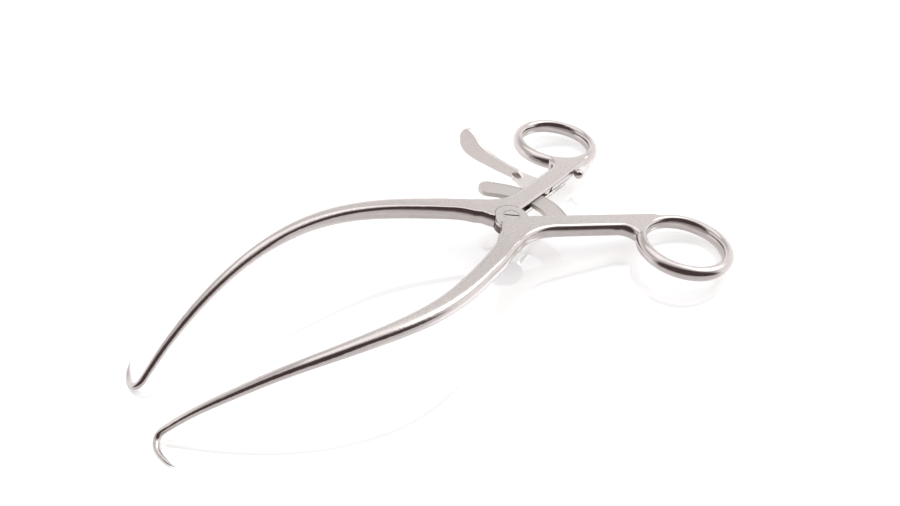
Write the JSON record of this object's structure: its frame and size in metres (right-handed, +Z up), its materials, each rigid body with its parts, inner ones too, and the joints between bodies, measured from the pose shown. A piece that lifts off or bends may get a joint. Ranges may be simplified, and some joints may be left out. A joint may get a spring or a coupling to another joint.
{
  "type": "self-retaining retractor",
  "caption": "Ring-handled retractor whose bowed arms end in outward prongs, held open by a toothed bar and a sprung thumb pawl.",
  "frame": {"origin": "centre of the box that it fills, on the surface that its prongs and rings rest on", "axes": "+X from the prongs to the finger rings, +Y to the lever with the release pawl, +Z up; the levers' plane leans 9.5 degrees, lower at the rings"},
  "size_m": [0.184, 0.0996, 0.0224],
  "materials": {
    "lever_steel": "fine matte flats, polished round edges",
    "screw_steel": "satin",
    "bar_steel": "satin",
    "pawl_steel": "satin",
    "pin_steel": "turned",
    "spring_steel": "ground strip",
    "stud_steel": "polished"
  },
  "bodies": {
    "near": {"near_lever": "lever_steel", "ratchet_bar": "bar_steel", "bar_pins": "pin_steel"},
    "far": {"far_lever": "lever_steel", "pivot_screw": "screw_steel", "pawl_pin": "pin_steel", "pawl_spring": "spring_steel", "spring_stud": "stud_steel"},
    "pawl": {"release_pawl": "pawl_steel"}
  },
  "joints": [
    {"name": "lever_hinge", "type": "hinge", "parent": "near", "child": "far", "pos_m": [0.03181, 0, 0.01288], "axis": [0.165, 0, 0.9863], "range_deg": [-32, 8.2]},
    {"name": "pawl_release", "type": "hinge", "parent": "far", "child": "pawl", "pos_m": [0.05379, 0.011, 0.0091], "axis": [0.165, 0, 0.9863], "range_deg": [-8, 0], "stiffness_Nm_per_rad": 0.05, "springref_deg": 2, "deforming": ["pawl_spring"]}
  ]
}
